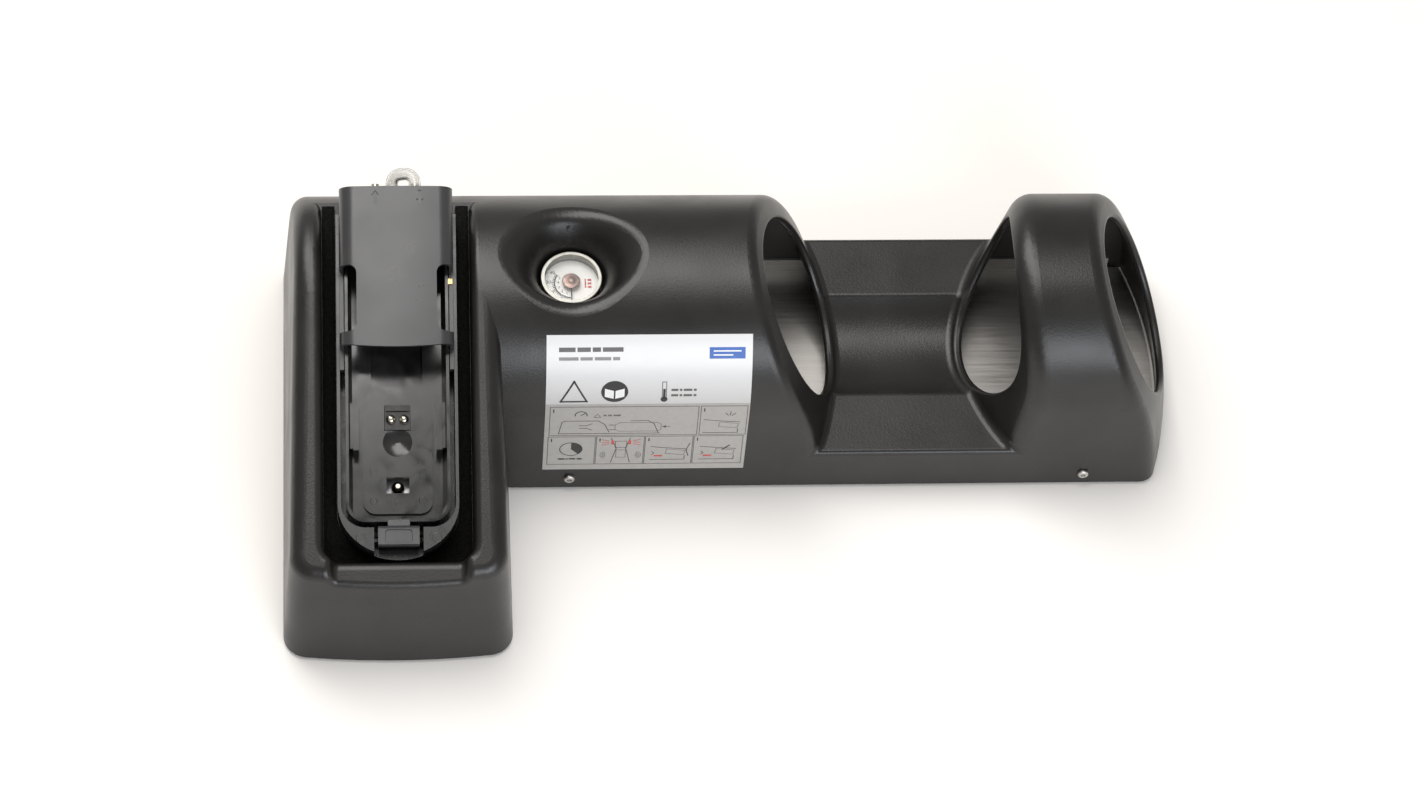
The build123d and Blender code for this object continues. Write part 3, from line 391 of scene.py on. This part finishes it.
class Drawing:
    """Flat shapes in millimetres (across, down), each in an ink, laid on a surface by a place function."""

    def __init__(self):
        self.shapes = {}

    def polygon(self, ink, points, lift=0):
        self.shapes.setdefault(ink, []).append((points, lift))

    def bar(self, ink, x0, y0, x1, y1, lift=0):
        self.polygon(ink, [(x0, y0), (x1, y0), (x1, y1), (x0, y1)], lift)

    def line(self, ink, points, width=0.4, closed=False, lift=1):
        """A stroke of that width: one four-sided piece for each run, with square corners filled."""
        stops = points + points[:1] if closed else points
        for (ax, ay), (bx, by) in zip(stops, stops[1:]):
            length = math.hypot(bx - ax, by - ay)
            ex, ey = (bx - ax) / length * width / 2, (by - ay) / length * width / 2
            self.polygon(ink, [(ax - ex - ey, ay - ey + ex), (bx + ex - ey, by + ey + ex),
                               (bx + ex + ey, by + ey - ex), (ax - ex + ey, ay - ey - ex)], lift)

    def box(self, ink, x0, y0, x1, y1, width=0.3):
        self.line(ink, [(x0, y0), (x1, y0), (x1, y1), (x0, y1)], width, closed=True)

    def disc(self, ink, x, y, radius, start=0, end=360, lift=0):
        """A disc, or a wedge of one; angles run clockwise from the top."""
        steps = max(8, int((end - start) / DISC_STEP))
        rim = [around(x, y, radius, start + (end - start) * i / steps) for i in range(steps + 1)]
        self.polygon(ink, rim[:-1] if end - start == 360 else [(x, y)] + rim, lift)

    def arc(self, ink, x, y, radius, start, end, width=0.3):
        steps = max(3, int(abs(end - start) / ARC_STEP))
        self.line(ink, [around(x, y, radius, start + (end - start) * i / steps)
                        for i in range(steps + 1)], width)

    def words(self, ink, x, y, lengths, height, gap=0.9):
        """Short bars in a row, standing for a line of print."""
        for length in lengths:
            self.bar(ink, x, y, x + length, y + height)
            x += length + gap

    def figure(self, ink, text, x, y, size, lift=1):
        """A dial number, centred, from the built-in font."""
        curve = bpy.data.curves.new("figure", "FONT")
        curve.body = text
        curve.size = size
        curve.align_x, curve.align_y = "CENTER", "CENTER"
        curve.resolution_u = 3
        holder = bpy.data.objects.new("figure", curve)
        mesh = bpy.data.meshes.new_from_object(holder)
        for face in mesh.polygons:
            self.polygon(ink, [(x + mesh.vertices[i].co.x, y - mesh.vertices[i].co.y)
                               for i in face.vertices], lift)
        bpy.data.objects.remove(holder)
        bpy.data.meshes.remove(mesh)

    def lay(self, name, place, body, step=1.5, thickness=PRINT_T):
        """One piece for each ink: its shapes cut into strips, so that they follow a curved surface."""
        for ink, shapes in sorted(self.shapes.items()):
            mesh = bmesh.new()
            for points, lift in shapes:
                add_strips(mesh, points, lift, place, step)
            bmesh.ops.recalc_face_normals(mesh, faces=mesh.faces)
            piece = new_piece(f"{name}_{ink}", mesh, INKS[ink], body)
            solid = piece.modifiers.new("thickness", "SOLIDIFY")
            solid.thickness = thickness
            solid.offset = 0


def around(x, y, radius, degrees):
    """The point at a radius from (x, y), clockwise from the top, with y running down."""
    turn = math.radians(degrees)
    return (x + radius * math.sin(turn), y - radius * math.cos(turn))


def add_strips(mesh, points, lift, place, step):
    """Adds a flat polygon to the mesh, cut across every step of its height, and laid by place."""
    flat = bmesh.new()
    flat.faces.new([flat.verts.new((x, y, 0)) for x, y in points])
    low, high = min(p[1] for p in points), max(p[1] for p in points)
    cut = math.ceil(low / step) * step
    while cut < high:
        if cut > low:
            everything = flat.verts[:] + flat.edges[:] + flat.faces[:]
            bmesh.ops.bisect_plane(flat, geom=everything, plane_co=(0, cut, 0), plane_no=(0, 1, 0))
        cut += step
    bmesh.ops.triangulate(flat, faces=flat.faces)
    copies = {v: mesh.verts.new(place(v.co.x, v.co.y, lift)) for v in flat.verts}
    for face in flat.faces:
        mesh.faces.new([copies[v] for v in face.verts])
    flat.free()


def new_piece(name, mesh, material, body, smooth=False):
    """Turns a bmesh into a named piece that rides on a body."""
    data = bpy.data.meshes.new(name)
    for face in mesh.faces:
        face.smooth = smooth
    mesh.to_mesh(data)
    mesh.free()
    data.materials.append(material)
    piece = bpy.data.objects.new(name, data)
    bpy.context.scene.collection.objects.link(piece)
    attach(piece, body)
    return piece


# ---- instruction label --------------------------------------------------------------------
DRAWING_W = 100           # the label's drawing, in units of very nearly a millimetre
DRAWING_H = 94
HUB_BACK = 0.040          # metres: rays run in to a hub this far behind the label, to find its outline
HUB_UP = 0.030            # the hub's height over the label's lower edge
RAY = 0.3                 # length of the rays


def label_place():
    """Returns place(across, down, lift), from the drawing's units on the label to a point in the frame."""
    low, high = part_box("instruction_label")
    tree = BVHTree.FromObject(nodes["instruction_label"], bpy.context.evaluated_depsgraph_get())
    middle_x = (low.x + high.x) / 2
    hub = Vector((middle_x, high.y + HUB_BACK, low.z + HUB_UP))
    stops = []
    steps = 720
    for i in range(steps):
        turn = math.pi * i / steps
        out = Vector((0, -math.sin(turn), math.cos(turn)))
        hit, normal, _, _ = tree.ray_cast(hub + out * RAY, -out, RAY)
        if hit is not None and abs(normal.dot(out)) > 0.5:
            stops.append((hit, normal if normal.dot(out) > 0 else -normal))
    lengths = [0.0]
    for (a, _), (b, _) in zip(stops, stops[1:]):
        lengths.append(lengths[-1] + (b - a).length)

    def place(across, down, lift):
        want = min(max(down / DRAWING_H, 0), 1) * lengths[-1]
        k = max(i for i in range(len(stops) - 1) if lengths[i] <= want or i == 0)
        share = (want - lengths[k]) / (lengths[k + 1] - lengths[k])
        point = stops[k][0].lerp(stops[k + 1][0], share)
        normal = stops[k][1].lerp(stops[k + 1][1], share).normalized()
        point = point + normal * (PRINT_T + PRINT_LIFT * lift)
        return Vector((low.x + (high.x - low.x) * across / DRAWING_W, point.y, point.z))

    return place


def draw_heading(d):
    """Two lines of print, a plain blue block, an empty triangle, an open-book disc and a thermometer."""
    d.words("grey", 6, 6.3, (8, 6.5, 4, 10), 2.3)
    d.words("light", 6, 11.4, (9.5, 6, 8, 3.4), 1.7)
    d.bar("blue", 79, 6.6, 96.5, 12.6)
    d.bar("white", 81, 8.2, 94.5, 8.9, lift=1)
    d.bar("white", 81, 10.3, 90.5, 11.0, lift=1)
    d.line("black", [(7.2, 37.4), (13.6, 24.8), (20.0, 37.4)], 0.9, closed=True)
    d.disc("black", 33.4, 31.2, 6.6)
    d.polygon("white", [(28.6, 29.2), (33.0, 30.6), (33.0, 35.6), (28.6, 34.2)], 1)
    d.polygon("white", [(33.8, 30.6), (38.2, 29.2), (38.2, 34.2), (33.8, 35.6)], 1)
    d.line("black", [(56.6, 25.4), (58.6, 25.4), (58.6, 35.0), (56.6, 35.0)], 0.3, closed=True)
    d.bar("black", 57.0, 29.6, 58.2, 35.6)
    d.disc("black", 57.6, 36.2, 1.7)
    for y in (29.6, 33.0):
        d.words("grey", 61, y, (3.4, 1.2, 4.2, 1.4), 1.3, 0.7)


def draw_panels(d):
    """Six grey panels with thin frames."""
    upper, lower, foot = 41.2, 66.0, DRAWING_H - 4.2
    panels = [(2.4, upper, 75.0, 64.8), (76.2, upper, 99.0, 64.8)]
    edges = (1.9, 25.8, 49.9, 73.9, 98.6)
    panels += [(a + 0.2, lower, b - 0.4, foot) for a, b in zip(edges, edges[1:])]
    d.bar("panel", 0.1, 39.4, DRAWING_W - 0.1, DRAWING_H - 0.1)
    for x0, y0, x1, y1 in panels:
        d.box("grey", x0, y0, x1, y1, 0.42)
        d.bar("black", x0 + 1.4, y0 + 1.6, x0 + 2.0, y0 + 4.2, lift=1)


def draw_station(d):
    """First panel: the station from the side, with the cylinder going in."""
    d.arc("black", 17.6, 47.6, 2.9, -100, 100, 0.5)
    d.line("black", [(17.6, 47.6), (19.4, 46.2)], 0.5)
    d.line("black", [(24.0, 49.4), (25.6, 46.6), (27.2, 49.4)], 0.25, closed=True)
    d.words("grey", 28.6, 47.2, (1.4, 2.0, 3.6), 1.3, 0.7)
    d.line("black", [(7.0, 63.2), (8.4, 53.6), (9.6, 52.4), (26.2, 52.4), (29.4, 55.4), (31.8, 62.0)], 0.38)
    d.line("black", [(17.0, 56.4), (20.6, 56.4), (23.2, 54.8)], 0.38)
    d.line("black", [(17.0, 58.6), (20.6, 58.6), (23.2, 60.2)], 0.38)
    d.line("black", [(7.0, 63.2), (56.8, 63.2)], 0.38)
    d.line("grey", [(36.4, 61.4), (34.6, 59.8), (34.6, 56.2), (37.0, 54.0), (55.4, 54.0), (57.2, 55.4),
                    (57.2, 60.2), (55.4, 61.4)], 0.3, closed=True)
    d.line("black", [(31.8, 56.0), (34.6, 56.0)], 0.38)
    d.line("black", [(31.8, 60.0), (34.6, 60.0)], 0.38)
    d.line("black", [(42.0, 52.6), (50.4, 52.2), (53.6, 55.0), (56.0, 62.8)], 0.38)
    d.line("black", [(61.6, 57.6), (57.8, 57.6)], 0.3)
    d.polygon("black", [(59.6, 56.6), (57.8, 57.6), (59.6, 58.6)], 1)


def draw_side_view(d, x, y, ray):
    """A small pod from the side with the detector in it; ray draws short lines over it."""
    d.line("black", [(x - 9.6, y - 4.6), (x - 1.6, y - 3.4), (x + 8.2, y - 2.4)], 0.38)
    d.line("grey", [(x - 1.6, y - 2.4), (x + 7.6, y - 1.0), (x + 7.0, y + 2.6), (x - 2.2, y + 1.4)],
           0.3, closed=True)
    d.line("black", [(x - 9.6, y + 6.6), (x + 7.4, y + 6.6), (x + 7.4, y + 3.4)], 0.38)
    if ray:
        for turn in (-35, 5, 45):
            d.line("black", [around(x + 3, y - 7, 1.4, turn), around(x + 3, y - 7, 3.8, turn)], 0.4)


def draw_small_panels(d):
    draw_side_view(d, 87.6, 56.6, True)
    d.arc("black", 13.6, 76.6, 5.5, 0, 360, 0.45)
    d.disc("black", 13.6, 76.6, 5.4, 0, 140, lift=1)
    d.words("grey", 7.6, 84.6, (3.0, 1.0, 3.0, 2.6), 1.2, 0.7)
    d.line("black", [(33.2, 67.4), (36.0, 76.0), (33.6, 88.4)], 0.38)
    d.line("black", [(42.6, 67.4), (40.6, 76.0), (43.0, 88.4)], 0.38)
    d.box("black", 35.4, 70.0, 41.0, 75.4, 0.3)
    d.box("grey", 36.0, 77.6, 40.6, 84.0, 0.3)
    for x, way in ((34.0, -1), (42.4, 1)):
        d.bar("red", x - 0.7, 69.4, x + 0.7, 72.6, lift=2)
        for k in (-1, 0, 1):
            d.line("red", [(x + way * 2.0, 71 + k * 1.3), (x + way * 5.2, 71 + k * 2.3)], 0.35, lift=2)
        for radius in (1.0, 2.0, 3.0):
            d.arc("grey", x - way * 0.6 + way * 3.4, 82.0, radius, 20 if way > 0 else 200,
                  160 if way > 0 else 340, 0.3)
    for x in (62.6, 87.0):
        draw_side_view(d, x, 79.6, False)
        d.bar("red", x - 7.8, 82.4, x - 3.6, 83.6, lift=2)
        d.line("black", [(x - 9.0, 79.2), (x - 7.8, 80.6), (x - 9.0, 82.0)], 0.35)
    d.line("black", [(72.2, 72.4), (70.6, 78.0), (71.8, 83.0)], 0.45)
    d.line("black", [(88.6, 77.8), (91.8, 74.4)], 0.8)


def print_label():
    d = Drawing()
    draw_panels(d)
    draw_heading(d)
    draw_station(d)
    draw_small_panels(d)
    d.lay("label_print", label_place(), BODY)


# ---- pressure gauge -----------------------------------------------------------------------
DIAL_SWEEP = 125          # degrees
DIAL_START = 180          # clockwise from the top
SCALE_R = 8.0             # millimetres: the scale's arc
SHORT_TICK_R = 8.9
LONG_TICK_R = 9.4
NUMBER_R = 10.9           # the outer numbers, and the inner ones
INNER_NUMBER_R = 6.2


def print_dial():
    """Two scales from six o'clock round the left side, with numbers outside and inside."""
    low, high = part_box("gauge_dial")
    middle = (low + high) / 2
    top = high.z

    def place(across, down, lift):
        return Vector((middle.x + across * MM, middle.y - down * MM, top + (0.04 + 0.03 * lift) * MM))

    d = Drawing()
    d.arc("black", 0, 0, SCALE_R, DIAL_START, DIAL_START + DIAL_SWEEP, 0.5)
    ticks = 20
    for i in range(ticks + 1):
        turn = DIAL_START + DIAL_SWEEP * i / ticks
        reach = LONG_TICK_R if i % 5 == 0 else SHORT_TICK_R
        d.line("black", [around(0, 0, SCALE_R, turn), around(0, 0, reach, turn)], 0.42)
        if i % 4 == 0:
            d.line("black", [around(0, 0, 7.4, turn), around(0, 0, 8.2, turn)], 0.22)
    for i in range(5):
        turn = DIAL_START + DIAL_SWEEP * i / 4
        d.figure("black", str(i * 10), *around(0, 0, NUMBER_R, turn), 2.6)
    for i in range(1, 6):
        turn = DIAL_START + DIAL_SWEEP * (i - 0.2) / 5
        d.figure("black", str(i), *around(0, 0, INNER_NUMBER_R, turn), 2.0)
    d.bar("red", 6.6, -2.6, 7.3, 2.6)
    for y in (-2.0, 0, 2.0):
        d.bar("red", 8.0, y - 0.6, 9.9, y + 0.6)
    d.lay("dial_print", place, BODY, step=50, thickness=0.00002)


def spun(profile, steps=64):
    """A bmesh turned about Z from (radius, height) points in metres; ends on the axis are closed."""
    mesh = bmesh.new()
    rings = []
    for radius, height in profile:
        if radius < 1e-7:
            rings.append([mesh.verts.new((0, 0, height))])
        else:
            rings.append([mesh.verts.new((radius * math.cos(2 * math.pi * i / steps),
                                          radius * math.sin(2 * math.pi * i / steps), height))
                          for i in range(steps)])
    for a, b in zip(rings, rings[1:]):
        for i in range(steps):
            k = (i + 1) % steps
            corners = [a[i % len(a)], a[k % len(a)], b[k % len(b)], b[i % len(b)]]
            kept = [v for j, v in enumerate(corners) if v not in corners[:j]]
            if len(kept) > 2:
                mesh.faces.new(kept)
    bmesh.ops.recalc_face_normals(mesh, faces=mesh.faces)
    return mesh


def add_pointer_hub():
    """Copper-coloured hub with a small pin, on top of the pointer."""
    low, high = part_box("gauge_dial")
    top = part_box("gauge_pointer")[1].z
    profile = [(0, 0.0), (4.3, 0.0), (4.4, 0.15), (4.1, 0.42), (3.2, 0.60), (1.5, 0.72), (1.3, 1.0),
               (0.9, 1.15), (0, 1.2)]
    mesh = spun([(r * MM, h * MM) for r, h in profile])
    mesh.transform(Matrix.Translation(((low.x + high.x) / 2, (low.y + high.y) / 2, top + 0.00002)))
    copper = metal_finish("hub_copper", (0.30, 0.20, 0.165), (0.42, 0.29, 0.24), 0.42, 0.55)
    new_piece("pointer_hub", mesh, copper, "gauge_needle", smooth=True)


# ---- painted shade in the channel, springs and marks of the mould at the cradle -----------
def on_slope(across, along, up):
    """A point of the pod's sloping frame, in millimetres, to the model's frame."""
    x, y, z = POD_ORIGIN
    return Vector((x + across, y + along * math.cos(SLOPE) - up * math.sin(SLOPE),
                   z + along * math.sin(SLOPE) + up * math.cos(SLOPE))) * MM


SHADE_SHEET_BACK = 189.0         # how far the painted-shade strip reaches up the slope
SHADE_SHEET_LOW = -26.9          # its underside, and the foot of its rounded top
SHADE_SHEET_EDGE = -23.2
SHADE_SHEET_STEPS = 72           # parts of its bend
BEND_MIDDLE = 40          # point of the slope that both sides of the gap are swept round
TRAY_HALF = 28.95         # gap's inner side: half its width, and how far its tip is from that point
TRAY_TIP = 25.45
CHANNEL_HALF = 35.1       # gap's outer side: half the channel's width
CHANNEL_FRONT = 12.9
CHANNEL_R = 7.6           # radius of the channel's front corners


def add_channel_foam():
    """Near-black matt strip on the channel's floor, all the way round the front of the tray: painted shade,
    a dark sheet put where the deep gap lies in shade.
    """
    steps = SHADE_SHEET_STEPS
    inner = [(TRAY_HALF, SHADE_SHEET_BACK)] + [
        (TRAY_HALF * math.cos(math.pi * i / steps), BEND_MIDDLE - TRAY_TIP * math.sin(math.pi * i / steps))
        for i in range(steps + 1)] + [(-TRAY_HALF, SHADE_SHEET_BACK)]
    outer = [(CHANNEL_HALF, SHADE_SHEET_BACK)] + [corner_path(i / steps) for i in range(steps + 1)]
    outer += [(-CHANNEL_HALF, SHADE_SHEET_BACK)]
    section = ((0, SHADE_SHEET_LOW), (0, SHADE_SHEET_EDGE), (0.2, -22.5), (0.5, -22.3), (0.8, -22.5), (1, SHADE_SHEET_EDGE),
               (1, SHADE_SHEET_LOW))
    rows = []
    for near, far in zip(inner, outer):
        row = []
        for share, height in section:
            row.append((near[0] + (far[0] - near[0]) * share, near[1] + (far[1] - near[1]) * share, height))
        rows.append(row)
    mesh = bmesh.new()
    grid = [[mesh.verts.new(on_slope(*corner)) for corner in row] for row in rows]
    for a, b in zip(grid, grid[1:]):
        for i in range(len(a)):
            k = (i + 1) % len(a)
            mesh.faces.new([a[i], a[k], b[k], b[i]])
    for end in (grid[0], grid[-1]):
        mesh.faces.new(end)
    bmesh.ops.recalc_face_normals(mesh, faces=mesh.faces)
    # the strip is painted shade: a dark, matt sheet where the gap beside the tray lies in shade
    new_piece("channel_shade_sheet", mesh, foam_finish(), BODY)


def corner_path(share):
    """Point of the channel's rounded front wall, from its right side to its left."""
    half, front, radius = CHANNEL_HALF, CHANNEL_FRONT, CHANNEL_R
    turn = math.pi * share
    reach = min(half / max(abs(math.cos(turn)), 1e-6), (BEND_MIDDLE - front) / max(math.sin(turn), 1e-6))
    x, s = reach * math.cos(turn), BEND_MIDDLE - reach * math.sin(turn)
    over_x, over_s = abs(x) - (half - radius), (front + radius) - s
    if over_x > 0 and over_s > 0:
        size = math.hypot(over_x, over_s)
        x = math.copysign(half - radius + over_x * radius / size, x)
        s = front + radius - over_s * radius / size
    return (x, s)


def soften_springs():
    """Stands a copy in for each compression spring, riding on the station, and hides the spring itself.
    Each row also names the joint that presses on it, the fixed end at foot and the share of its length it
    keeps; these are not used."""
    springs = [("valve_spring", "valve_plunger_press", (0, 51, -56), 0.75),
               ("contact_spring_left", "contact_left_press", (-3.1, 83, -36), 0.83),
               ("contact_spring_right", "contact_right_press", (3.1, 83, -36), 0.83)]
    for node, joint, foot, keep in springs:
        data = nodes[node].data.copy()
        piece = bpy.data.objects.new(f"{node}_coil", data)
        bpy.context.scene.collection.objects.link(piece)
        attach(piece, BODY)
        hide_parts(node)
        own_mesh(piece)


def add_mould_marks():
    """Shallow raised circles that the mould's ejector pins leave on the crescent and the raised floor."""
    spots = [(-18, 23.5, -3.5, 2.3), (18, 23.5, -3.5, 2.3), (-11.5, 44, -18, 1.7), (11.5, 44, -18, 1.7),
             (-11.5, 58, -18, 1.7), (11.5, 58, -18, 1.7), (0, 42.5, -18, 1.2)]
    rings = bmesh.new()
    for across, along, up, radius in spots:
        profile = [(radius - 0.25, -0.05), (radius - 0.22, 0.06), (radius + 0.02, 0.08),
                   (radius + 0.08, -0.05), (radius - 0.25, -0.05)]
        ring = spun([(r * MM, h * MM) for r, h in profile], 40)
        bmesh.ops.remove_doubles(ring, verts=ring.verts, dist=1e-7)
        ring.transform(Matrix.Translation(on_slope(across, along, up)) @ Matrix.Rotation(SLOPE, 4, "X"))
        copy_into(rings, ring)
    new_piece("mould_marks", rings, FINISHES["cradle"], BODY, smooth=True)


def copy_into(target, source):
    """Moves one bmesh's faces into another."""
    copies = {v: target.verts.new(v.co) for v in source.verts}
    for face in source.faces:
        target.faces.new([copies[v] for v in face.verts])
    source.free()


make_camera()
make_studio()
paint_cad_nodes()
print_label()
print_dial()
add_pointer_hub()
add_channel_foam()
add_mould_marks()
soften_springs()
